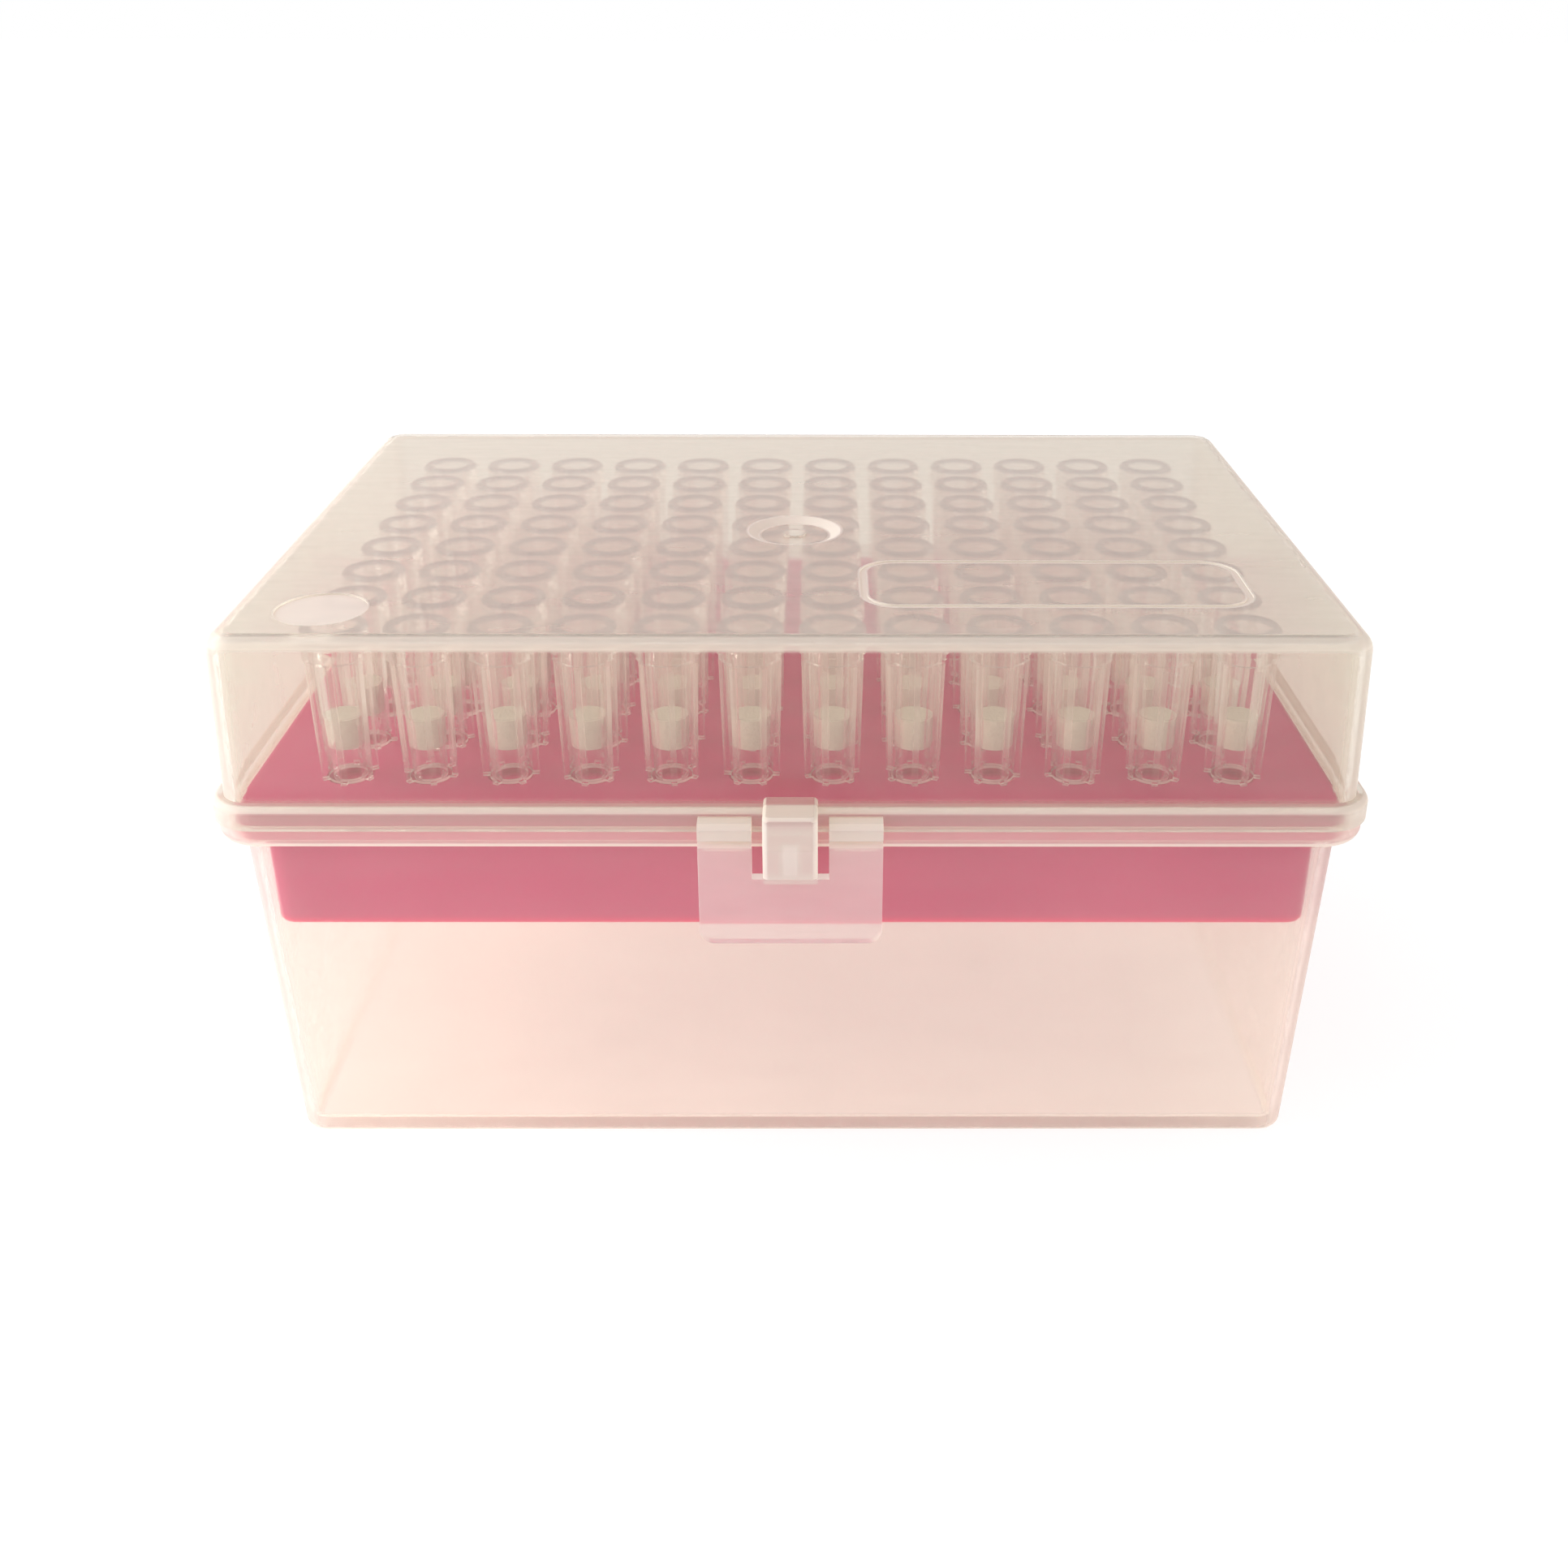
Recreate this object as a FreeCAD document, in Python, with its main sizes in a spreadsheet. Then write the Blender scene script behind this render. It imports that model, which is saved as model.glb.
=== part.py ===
import FreeCAD, Part

import math
import os
import re

import Sketcher

# Box of pipette tips: a hinged clear box, the rack inside it and eight rows of filter tips.
# Millimetres. +Z is up, the latch faces -Y, and the origin is the centre of the base's underside.

COLUMNS = 12
ROWS = "abcdefgh"
GOLDEN_ANGLE = 137.5            # degrees from one tip's turn to the next
RIBS = 6
NEAR = 0.001                   # mm within which two places are the same
MOSTLY = 0.9                    # share of an edge's length that shows its direction

SIZES = {
    # Grid of tips
    "pitch": 9.0,               # between neighbouring tips
    "end_margin": 8.85,          # end column to the foot's end
    "front_margin": 7.85,        # outer row to the foot's front or back
    # Tip, with its heights counted from the rack plate's top
    "tip_reach": 35.1,          # cone below the plate
    "tip_rise": 17.1,           # hub above the plate
    "mouth_radius": 2.5,
    "bore_slope": 0.02,         # loss of bore radius per mm down the hub
    "tube_wall": 0.5,
    "collar_radius": 3.65,
    "collar_height": 2.8,
    "collar_edge": 0.25,
    "step_height": 7.6,         # small shoulder that stops the pipette's cone
    "step_width": 0.15,
    "filter_low": 3.9,
    "filter_height": 3.5,
    "filter_seat": 0.15,        # shoulder under the filter
    "filter_gap": 0.02,
    "rib_width": 0.65,
    "rib_inset": 0.2,           # rib behind the collar's edge
    "waist_depth": 21.0,
    "waist_radius": 1.5,
    "cone_wall": 0.45,
    "point_radius": 0.45,
    "point_bore": 0.23,
    # Rack
    "hole_gap": 0.3,            # tip's tube in its hole
    "rib_rest": 0.45,           # rib's foot on the plate, past the hole's edge
    "plate_thickness": 1.5,
    "flange_drop": 2.9,
    "flange_wall": 1.3,
    "flange_edge": 1.0,
    "flange_gap": 0.35,         # flange in the base's rim
    "skirt_drop": 15.1,
    "skirt_wall": 1.3,
    "skirt_gap": 0.35,          # skirt in the base's cavity
    "skirt_slope": 0.008,       # draft of the skirt, per mm of height
    "skirt_edge": 0.6,
    # Base
    "floor_wall": 1.3,
    "under_tip_gap": 7.4,
    "base_wall": 1.15,
    "wall_slope": 0.035,         # draft of the base's walls, per mm of height
    "foot_corner": 3.0,
    "foot_edge": 1.1,
    "floor_edge": 1.2,
    "rim_reach": 2.45,           # rim outside the wall
    "rim_height": 2.5,
    "rim_edge": 1.4,
    "rim_wall": 1.3,
    "rim_corner": 5.0,
    "plate_rise": 1.1,          # rack plate's top above the rim
    # Lid
    "head_gap": 1.8,            # tips under the lid's ceiling
    "lid_wall": 1.2,
    "lid_slope": 0.021,
    "lid_corner": 3.3,
    "lid_edge": 2.0,
    "lip_overhang": 0.4,       # lip outside the base's rim
    "lip_step": 1.41,            # lip outside the lid's wall
    "lip_height": 2.7,
    "lip_edge": 0.95,
    "lip_depth": 1.6,           # wide part of the lid's inside
    "seat_gap": 0.05,           # lid on the base's rim
    # Marks in the lid's top
    "gate_across": 5.3,         # gate recess, from the lid's centre
    "gate_radius": 5.6,
    "gate_slant": 1.2,
    "gate_stub": 1.4,
    "gate_depth": 0.6,
    "disc_along": 50.2,
    "disc_across": 32.8,
    "disc_radius": 4.9,
    "mark_depth": 0.2,
    "label_along": 29.1,
    "label_across": 24.4,
    "label_length": 43.0,
    "label_width": 15.3,
    "label_corner": 4.0,
    "label_line": 0.7,
    # Back hinge
    "hinge_out": 3.2,           # pivot behind the lid's lip
    "hinge_drop": 0.3,          # pivot below the rim's top
    "hinge_along": 36.0,
    "knuckle_length": 8.0,
    "knuckle_radius": 2.4,
    "ear_thickness": 2.0,
    "side_play": 0.25,
    "pin_radius": 1.2,
    "pin_play": 0.05,
    "clip_mouth": 2.0,
    "clip_rise": 0.6,           # knuckle's arm above the pivot
    # Latch
    "latch_half": 9.8,          # half the release plate's width
    "slot_half": 4.1,
    "slot_drop": 4.5,           # slot's foot below the rim's top
    "release_drop": 12.4,       # release plate's foot below the rim's top
    "release_thickness": 1.3,
    "release_corner": 1.6,
    "release_edge": 0.9,
    "release_gap": 0.3,         # release plate in front of its hinge blocks
    "release_top": 0.3,         # release plate's top below the lid's blocks
    "block_inset": 0.6,
    "block_out": 1.0,
    "block_height": 1.8,
    "rod_radius": 0.5,
    "rod_in": 0.3,              # rod's axis behind the block's front
    "rod_drop": 0.9,            # rod's axis below the rim's top
    "rod_stop": 0.5,            # closed end of the rod's groove
    "web_height": 0.5,
    "cap_height": 1.8,          # lid's blocks over the release plate
    "cap_play": 0.1,
    "cap_edge": 0.8,
    "tongue_half": 2.9,
    "tongue_out": 3.5,          # tongue's front outside the lip
    "tongue_rise": 3.45,        # tongue's top above the rim
    "tongue_drop": 3.8,         # tongue's front foot below the rim
    "tongue_bulge": 0.3,
    "tongue_tip": 5.7,          # hook's foot below the rim
    "tongue_play": 0.15,
    "tongue_edge": 0.7,
    "tongue_top_edge": 0.5,
    "hook_thickness": 0.75,
    "core_half": 1.2,
    "core_depth": 1.9,
    "core_height": 2.6,
}

# Lengths and heights that follow from the sizes
DERIVED = {
    "plate_z": "floor_wall + under_tip_gap + tip_reach",
    "part_z": "plate_z - plate_rise",
    "rim_low_z": "part_z - rim_height",
    "ledge_z": "plate_z - flange_drop",
    "foot_length": f"{COLUMNS - 1} * pitch + 2 * end_margin",
    "foot_width": f"{len(ROWS) - 1} * pitch + 2 * front_margin",
    "rim_grow": "2 * wall_slope * rim_low_z + 2 * rim_reach",
    "rim_length": "foot_length + rim_grow",
    "rim_width": "foot_width + rim_grow",
    "cavity_grow": "2 * wall_slope * ledge_z - 2 * base_wall",
    "skirt_low_z": "plate_z - skirt_drop",
    "skirt_grow": "2 * wall_slope * skirt_low_z - 2 * base_wall - 2 * skirt_gap",
    "lip_length": "rim_length + 2 * lip_overhang",
    "lip_width": "rim_width + 2 * lip_overhang",
    "lid_length": "lip_length - 2 * lip_step",
    "lid_width": "lip_width - 2 * lip_step",
    "lid_low_z": "part_z + seat_gap",
    "lid_top_z": "plate_z + tip_rise + head_gap + lid_wall",
    "ceiling_z": "lid_top_z - lid_wall",
    "pivot_y": "lip_width / 2 + hinge_out",
    "pivot_z": "part_z - hinge_drop",
    "collar_low": "tip_rise - collar_height",
    "bore_step": "mouth_radius - bore_slope * (tip_rise - step_height)",
    "bore_filter": "bore_step - step_width",
    "bore_seat": "bore_filter - bore_slope * (step_height - filter_low)",
    "bore_plate": "bore_seat - filter_seat - bore_slope * filter_low",
    "tube_low": "bore_plate + tube_wall",
    "tube_high": "mouth_radius + tube_wall - bore_slope * collar_height",
    "hole_radius": "tube_low + hole_gap",
    "rim_front": "rim_width / 2",
    "block_front": "rim_front + block_out",
    "rod_y": "block_front - rod_in",
    "rod_z": "part_z - rod_drop",
    "release_back": "block_front + release_gap",
    "release_front": "release_back + release_thickness",
    "cap_low_z": "part_z + cap_play",
    "tongue_front": "lip_width / 2 + tongue_out",
}

doc = FreeCAD.newDocument("pipette_tip_box")
sizes = doc.addObject("Spreadsheet::Sheet", "sizes")


def fill_sheet():
    """Each size is a cell with its own alias."""
    for row, (name, value) in enumerate(SIZES.items(), start=1):
        sizes.set(f"A{row}", name)
        sizes.set(f"B{row}", str(value))
        sizes.setAlias(f"B{row}", name)
    doc.recompute()


def cells(text):
    """The expression with each size's name as its cell and each derived length written out."""
    def cell(match):
        word = match.group(0)
        if word in DERIVED:
            return f"({cells(DERIVED[word])})"
        return f"sizes.{word}" if word in SIZES else word
    return re.sub(r"[a-z_]+", cell, text)


def value(text):
    return float(sizes.evalExpression(cells(text)))


def new_body(name):
    body = doc.addObject("PartDesign::Body", name)
    body.Label = name
    return body


def attach(feature, body, plane, offset="0"):
    """Place a feature on one of the body's origin planes, moved along that plane's normal."""
    support = next(item for item in body.Origin.OriginFeatures if item.Role == plane)
    feature.AttachmentSupport = [(support, "")]
    feature.MapMode = "FlatFace"
    feature.setExpression("AttachmentOffset.Base.z", cells(offset))


def new_sketch(body, name, plane, offset):
    sketch = body.newObject("Sketcher::SketchObject", name)
    attach(sketch, body, plane, offset)
    return sketch


def constrain(sketch, kind, name, *arguments, expression):
    """A constraint whose value is bound to the sheet."""
    index = sketch.addConstraint(Sketcher.Constraint(kind, *arguments, value(expression)))
    sketch.renameConstraint(index, name)
    sketch.setExpression(f"Constraints.{name}", cells(expression))


def polygon(body, name, plane, points, offset="0"):
    """A closed outline of straight lines. Each point is a pair of expressions."""
    sketch = new_sketch(body, name, plane, offset)
    places = [FreeCAD.Vector(value(across), value(up), 0) for across, up in points]
    count = len(points)
    for index in range(count):
        sketch.addGeometry(Part.LineSegment(places[index], places[(index + 1) % count]))
    for index in range(count):
        sketch.addConstraint(Sketcher.Constraint("Coincident", index, 2, (index + 1) % count, 1))
    for index, (across, up) in enumerate(points):
        for kind, tag, expression in (("DistanceX", "across", across), ("DistanceY", "up", up)):
            constrain(sketch, kind, f"{tag}_{index}", -1, 1, index, 1, expression=expression)
    return sketch


def circle(body, name, plane, centre, radius, offset="0"):
    sketch = new_sketch(body, name, plane, offset)
    place = FreeCAD.Vector(value(centre[0]), value(centre[1]), 0)
    sketch.addGeometry(Part.Circle(place, FreeCAD.Vector(0, 0, 1), value(radius)))
    constrain(sketch, "Radius", "radius", 0, expression=radius)
    constrain(sketch, "DistanceX", "across", -1, 1, 0, 3, expression=centre[0])
    constrain(sketch, "DistanceY", "up", -1, 1, 0, 3, expression=centre[1])
    return sketch


def rounded_rectangle(body, name, height, length, width, corner, centre=("0", "0")):
    """A level outline of four corner arcs and the lines between them."""
    sketch = new_sketch(body, name, "XY_Plane", height)
    radius = value(corner)
    arcs = []
    for index, (side, end) in enumerate(((1, -1), (1, 1), (-1, 1), (-1, -1))):
        across = f"{centre[0]} + {side} * (({length}) / 2 - ({corner}))"
        up = f"{centre[1]} + {end} * (({width}) / 2 - ({corner}))"
        hub = FreeCAD.Vector(value(across), value(up), 0)
        start = (index - 1) * math.pi / 2
        ring = Part.Circle(hub, FreeCAD.Vector(0, 0, 1), radius)
        arc = sketch.addGeometry(Part.ArcOfCircle(ring, start, start + math.pi / 2))
        constrain(sketch, "Radius", f"corner_{index}", arc, expression=corner)
        constrain(sketch, "DistanceX", f"across_{index}", -1, 1, arc, 3, expression=across)
        constrain(sketch, "DistanceY", f"up_{index}", -1, 1, arc, 3, expression=up)
        arcs.append(arc)
    for index, arc in enumerate(arcs):
        following = arcs[(index + 1) % 4]
        ends = sketch.Geometry[arc].EndPoint, sketch.Geometry[following].StartPoint
        line = sketch.addGeometry(Part.LineSegment(*ends))
        sketch.addConstraint(Sketcher.Constraint("Tangent", arc, 2, line, 1))
        sketch.addConstraint(Sketcher.Constraint("Tangent", line, 2, following, 1))
    return sketch


def finish(body, feature, removes=False):
    """Recompute, and see that the feature changed the body's volume the right way."""
    before = body.Shape.Volume if body.Shape and not body.Shape.isNull() else 0.0
    body.Tip = feature
    doc.recompute()
    change = feature.Shape.Volume - before
    if change * (-1 if removes else 1) <= 0:
        raise RuntimeError(f"{body.Label}: {feature.Label} changed the volume by {change:.3f}")
    return feature


def pad(body, name, sketch, length, symmetric=False):
    feature = body.newObject("PartDesign::Pad", name)
    feature.Profile = sketch
    feature.SideType = "Symmetric" if symmetric else "One side"
    feature.setExpression("Length", cells(length))
    return finish(body, feature)


def pocket(body, name, sketch, length, along_normal=False):
    """A cut, against the sketch's normal unless along_normal."""
    feature = body.newObject("PartDesign::Pocket", name)
    feature.Profile = sketch
    feature.Reversed = along_normal
    feature.setExpression("Length", cells(length))
    return finish(body, feature, removes=True)


def wedge(body, name, low, high, low_size, high_size, removes=False):
    """A centred block with sloping sides. Each size is a length along X and a width along Y."""
    kind = "PartDesign::SubtractiveWedge" if removes else "PartDesign::AdditiveWedge"
    feature = body.newObject(kind, name)
    attach(feature, body, "XZ_Plane")
    limits = {"Ymin": low, "Ymax": high}
    for tag, (length, width) in (("", low_size), ("2", high_size)):
        for bound, sign in (("min", "-"), ("max", "")):
            limits[f"X{tag}{bound}"] = f"{sign}({length}) / 2"
            limits[f"Z{tag}{bound}"] = f"{sign}({width}) / 2"
    for limit, expression in limits.items():
        feature.setExpression(limit, cells(expression))
    return finish(body, feature, removes)


def fillet(body, name, feature, edges, radius):
    """Round the edges that the test accepts."""
    chosen = [f"Edge{index}" for index, edge in enumerate(feature.Shape.Edges, start=1) if edges(edge)]
    if not chosen:
        raise RuntimeError(f"{body.Label}: {name} found no edge")
    rounding = body.newObject("PartDesign::Fillet", name)
    rounding.Base = (feature, chosen)
    rounding.setExpression("Radius", cells(radius))
    body.Tip = rounding
    doc.recompute()
    return rounding


def level_at(height, beyond=None):
    """Test for edges at one height, and outside a half length and half width if given."""
    def test(edge):
        box = edge.BoundBox
        level = max(abs(box.ZMin - value(height)), abs(box.ZMax - value(height))) < NEAR
        if not level or beyond is None:
            return level
        centre = edge.CenterOfMass
        return abs(centre.x) > value(beyond[0]) or abs(centre.y) > value(beyond[1])
    return test


def standing(low, high, beyond=("0", "0")):
    """Test for upright edges between two heights, outside a half length and half width."""
    def test(edge):
        box = edge.BoundBox
        upright = box.ZLength > MOSTLY * edge.Length
        within = box.ZMin > value(low) - NEAR and box.ZMax < value(high) + NEAR
        outside = abs(edge.CenterOfMass.x) > value(beyond[0]) and abs(edge.CenterOfMass.y) > value(beyond[1])
        return upright and within and outside
    return test


def build_base():
    """The lower half: tapered tray, flared rim with a ledge, hinge ears and hinge blocks."""
    body = new_body("base_box")
    grown = "2 * wall_slope * rim_low_z"
    shell = wedge(body, "shell", "0", "rim_low_z", ("foot_length", "foot_width"),
                  (f"foot_length + {grown}", f"foot_width + {grown}"))
    shell = fillet(body, "shell_corners", shell, standing("0", "rim_low_z"), "foot_corner")
    shell = fillet(body, "foot_edges", shell, level_at("0"), "foot_edge")
    outline = rounded_rectangle(body, "rim_outline", "rim_low_z", "rim_length", "rim_width", "rim_corner")
    rim = pad(body, "rim", outline, "rim_height")
    past_wall = ("rim_length / 2 - rim_reach / 2", "rim_width / 2 - rim_reach / 2")
    fillet(body, "rim_underside", rim, level_at("rim_low_z", past_wall), "rim_edge")
    add_hinge_ears(body)
    add_hinge_blocks(body)
    hollow_base(body)
    return body


def hollow_base(body):
    """The tray's inside, and the wider pocket in the rim that takes the rack's flange."""
    low_grow = "2 * wall_slope * floor_wall - 2 * base_wall"
    inside = wedge(body, "cavity", "floor_wall", "ledge_z",
                   (f"foot_length + {low_grow}", f"foot_width + {low_grow}"),
                   ("foot_length + cavity_grow", "foot_width + cavity_grow"), removes=True)
    corner = ("foot_length / 2 - foot_corner", "foot_width / 2 - foot_corner")
    inside = fillet(body, "cavity_corners", inside,
                    sharp_inside("floor_wall", "ledge_z", corner), "foot_corner - base_wall")
    fillet(body, "floor_edges", inside, level_at("floor_wall"), "floor_edge")
    seat = rounded_rectangle(body, "seat_outline", "part_z", "rim_length - 2 * rim_wall",
                             "rim_width - 2 * rim_wall", "rim_corner - rim_wall")
    pocket(body, "seat", seat, "part_z - ledge_z")


def sharp_inside(low, high, beyond):
    """Test for the upright corner edges that span two heights."""
    def test(edge):
        box = edge.BoundBox
        spans = abs(box.ZMin - value(low)) < NEAR and abs(box.ZMax - value(high)) < NEAR
        return spans and standing(low, high, beyond)(edge)
    return test


def sides():
    return (("left", -1), ("right", 1))


def add_hinge_ears(body):
    """Two pairs of ears at the back, each pair with a pin across it."""
    room = "(knuckle_length / 2 + side_play)"
    web = [("rim_front - rim_wall / 2", "pivot_z"), ("pivot_y", "pivot_z"),
           ("pivot_y", "pivot_z - knuckle_radius"),
           ("rim_front - rim_wall / 2", "pivot_z - knuckle_radius")]
    pivot = ("pivot_y", "pivot_z")
    for side, sign in sides():
        middle = f"{sign} * hinge_along"
        starts = (("outer", f"{middle} - {room} - ear_thickness"), ("inner", f"{middle} + {room}"))
        for ear, start in starts:
            name = f"ear_{side}_{ear}"
            flat = polygon(body, f"{name}_web_outline", "YZ_Plane", web, start)
            pad(body, f"{name}_web", flat, "ear_thickness")
            round_end = circle(body, f"{name}_eye_outline", "YZ_Plane", pivot, "knuckle_radius", start)
            pad(body, f"{name}_eye", round_end, "ear_thickness")
        pin = circle(body, f"pin_{side}_outline", "YZ_Plane", pivot, "pin_radius", starts[0][1])
        pad(body, f"pin_{side}", pin, f"2 * {room} + 2 * ear_thickness")


def block_start(sign):
    """The end of a hinge block or rod nearer -X, and the block's length."""
    length = "latch_half - slot_half - 2 * block_inset"
    inner = "slot_half + block_inset"
    return (inner if sign > 0 else f"-({inner}) - ({length})"), length


def add_hinge_blocks(body):
    """Two blocks on the front of the rim, each with an open groove for the release plate's rod."""
    profile = [("-(rim_front - rim_wall / 2)", "part_z"), ("-block_front", "part_z"),
               ("-block_front", "part_z - block_height"),
               ("-(rim_front - rim_wall / 2)", "part_z - block_height")]
    for side, sign in sides():
        start, length = block_start(sign)
        block = polygon(body, f"block_{side}_outline", "YZ_Plane", profile, start)
        pad(body, f"block_{side}", block, length)
        groove_start = start if sign > 0 else f"{start} + rod_stop"
        groove = circle(body, f"groove_{side}_outline", "YZ_Plane", ("-rod_y", "rod_z"),
                        "rod_radius + pin_play", groove_start)
        pocket(body, f"groove_{side}", groove, f"{length} - rod_stop", along_normal=True)


def build_rack():
    """The rack: plate, turned-down flange, hanging skirt and a hole for each tip."""
    body = new_body("tip_rack")
    length = "rim_length - 2 * rim_wall - 2 * flange_gap"
    width = "rim_width - 2 * rim_wall - 2 * flange_gap"
    corner = "rim_corner - rim_wall - flange_gap"
    outline = rounded_rectangle(body, "flange_outline", "ledge_z", length, width, corner)
    plate = pad(body, "flange", outline, "flange_drop")
    fillet(body, "flange_edges", plate, level_at("plate_z"), "flange_edge")
    under = rounded_rectangle(body, "flange_hollow_outline", "ledge_z", f"{length} - 2 * flange_wall",
                              f"{width} - 2 * flange_wall", f"{corner} - flange_wall")
    pocket(body, "flange_hollow", under, "flange_drop - plate_thickness", along_normal=True)
    add_skirt(body)
    cut_holes(body)
    return body


def skirt_size(height, inset):
    """The skirt's length and width at a height. Its foot follows the base's cavity."""
    grow = f"skirt_grow + 2 * skirt_slope * ({height} - skirt_low_z) - 2 * ({inset})"
    return f"foot_length + {grow}", f"foot_width + {grow}"


def add_skirt(body):
    low, high = "skirt_low_z", "plate_z - plate_thickness"
    skirt = wedge(body, "skirt", low, high, skirt_size(low, "0"), skirt_size(high, "0"))
    corner = ("foot_length / 2 - foot_corner", "foot_width / 2 - foot_corner")
    skirt = fillet(body, "skirt_corners", skirt, sharp_inside(low, high, corner), "foot_corner - skirt_edge")
    skirt = fillet(body, "skirt_edges", skirt, level_at(low), "skirt_edge")
    wedge(body, "skirt_hollow", low, high, skirt_size(low, "skirt_wall"),
          skirt_size(high, "skirt_wall"), removes=True)


def grid_start(count):
    return f"-{count - 1} / 2 * pitch"


def cut_holes(body):
    corner = (grid_start(COLUMNS), grid_start(len(ROWS)))
    outline = circle(body, "hole_outline", "XY_Plane", corner, "hole_radius", "plate_z")
    hole = pocket(body, "hole", outline, "plate_thickness")
    grid = body.newObject("PartDesign::MultiTransform", "holes")
    grid.Originals = [hole]
    runs = []
    for name, axis, count in (("along", "H_Axis", COLUMNS), ("across", "V_Axis", len(ROWS))):
        run = body.newObject("PartDesign::LinearPattern", f"holes_{name}")
        run.Direction = (outline, [axis])
        run.Occurrences = count
        run.setExpression("Length", cells(f"{count - 1} * pitch"))
        runs.append(run)
    grid.Transformations = runs
    finish(body, grid, removes=True)


def build_lid():
    """The upper half: walls and top, lip, latch tongue and caps, hinge knuckles and top marks."""
    body = new_body("lid")
    shrink = "2 * lid_slope * (lid_top_z - lid_low_z)"
    shell = wedge(body, "shell", "lid_low_z", "lid_top_z", ("lid_length", "lid_width"),
                  (f"lid_length - {shrink}", f"lid_width - {shrink}"))
    shell = fillet(body, "shell_corners", shell, standing("lid_low_z", "lid_top_z"), "lid_corner")
    fillet(body, "top_edges", shell, level_at("lid_top_z"), "lid_edge")
    lip_top = "part_z + lip_height"
    outline = rounded_rectangle(body, "lip_outline", "lid_low_z", "lip_length", "lip_width",
                                "rim_corner + lip_overhang")
    lip = pad(body, "lip", outline, "lip_height - seat_gap")
    past_wall = ("lip_length / 2 - lip_step / 2", "lip_width / 2 - lip_step / 2")
    fillet(body, "lip_edges", lip, level_at(lip_top, past_wall), "lip_edge")
    add_caps(body)
    add_tongue(body)
    add_knuckles(body)
    hollow_lid(body)
    mark_top(body)
    return body


def hollow_lid(body):
    shrink = "2 * lid_slope * (ceiling_z - lid_low_z)"
    length, width = "lid_length - 2 * lid_wall", "lid_width - 2 * lid_wall"
    inside = wedge(body, "inside", "lid_low_z", "ceiling_z", (length, width),
                   (f"{length} - {shrink}", f"{width} - {shrink}"), removes=True)
    corner = ("lid_length / 2 - lid_corner", "lid_width / 2 - lid_corner")
    inside = fillet(body, "inside_corners", inside,
                    sharp_inside("lid_low_z", "ceiling_z", corner), "lid_corner - lid_wall")
    fillet(body, "ceiling_edges", inside, level_at("ceiling_z"), "lid_edge - lid_wall")
    wide = rounded_rectangle(body, "lip_inside_outline", "lid_low_z", "lip_length - 2 * lid_wall",
                             "lip_width - 2 * lid_wall", "rim_corner + lip_overhang - lid_wall")
    pocket(body, "lip_inside", wide, "lip_depth", along_normal=True)


def add_caps(body):
    """The two blocks on the lip that stand over the release plate's arms."""
    root = "-(lip_width / 2 - lid_wall / 2)"
    top = "cap_low_z + cap_height"
    profile = [(root, "cap_low_z"), ("-release_front", "cap_low_z"), ("-release_front", top), (root, top)]
    for side, sign in sides():
        start = "slot_half" if sign > 0 else "-latch_half"
        outline = polygon(body, f"cap_{side}_outline", "YZ_Plane", profile, start)
        cap = pad(body, f"cap_{side}", outline, "latch_half - slot_half")
        fillet(body, f"cap_{side}_edge", cap, front_top_edge(top, "release_front", sign), "cap_edge")


def front_top_edge(height, front, sign):
    """Test for the level edge along X at one height on the front face, on one side."""
    def test(edge):
        centre = edge.CenterOfMass
        on_front = abs(centre.y + value(front)) < NEAR and abs(centre.z - value(height)) < NEAR
        return on_front and centre.x * sign >= 0 and edge.BoundBox.XLength > MOSTLY * edge.Length
    return test


def add_tongue(body):
    """The latch tongue, with a hook behind the release plate's crossbar and a hollow back."""
    root, hook_front = "-(lid_width / 2 - lid_wall / 2)", "-(release_back - tongue_play)"
    back, foot = f"{hook_front} + hook_thickness", "part_z - tongue_drop"
    top = "part_z + tongue_rise"
    profile = [(root, top), ("-tongue_front", top),
               ("-(tongue_front + tongue_bulge)", "part_z - tongue_bulge"), ("-tongue_front", foot),
               (hook_front, f"{foot} - tongue_bulge"), (hook_front, "part_z - tongue_tip"),
               (back, "part_z - tongue_tip"), (back, "lid_low_z"), (root, "lid_low_z")]
    outline = polygon(body, "tongue_outline", "YZ_Plane", profile, "0")
    tongue = pad(body, "tongue", outline, "2 * tongue_half", symmetric=True)
    tongue = fillet(body, "tongue_sides", tongue, tongue_side(top, foot), "tongue_edge")
    fillet(body, "tongue_top", tongue, tongue_rim(top), "tongue_top_edge")
    low = f"{foot} + tongue_bulge"
    window = [("-core_half", low), ("core_half", low),
              ("core_half", f"{low} + core_height"), ("-core_half", f"{low} + core_height")]
    core = polygon(body, "tongue_core_outline", "XZ_Plane", window, f"-({back})")
    pocket(body, "tongue_core", core, "core_depth", along_normal=True)


def tongue_side(top, foot):
    """Test for the tongue's upright front edges."""
    def test(edge):
        box, centre = edge.BoundBox, edge.CenterOfMass
        on_side = abs(abs(centre.x) - value("tongue_half")) < NEAR and centre.y < value("-release_front")
        between = box.ZMin > value(foot) - NEAR and box.ZMax < value(top) + NEAR
        return on_side and between and box.ZLength > MOSTLY * edge.Length
    return test


def tongue_rim(top):
    """Test for the edges round the tongue's top."""
    def test(edge):
        centre = edge.CenterOfMass
        outside = centre.y < value("-lip_width / 2") and abs(centre.x) < value("tongue_half") + NEAR
        return outside and edge.BoundBox.ZLength < NEAR and abs(centre.z - value(top)) < NEAR
    return test


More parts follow.
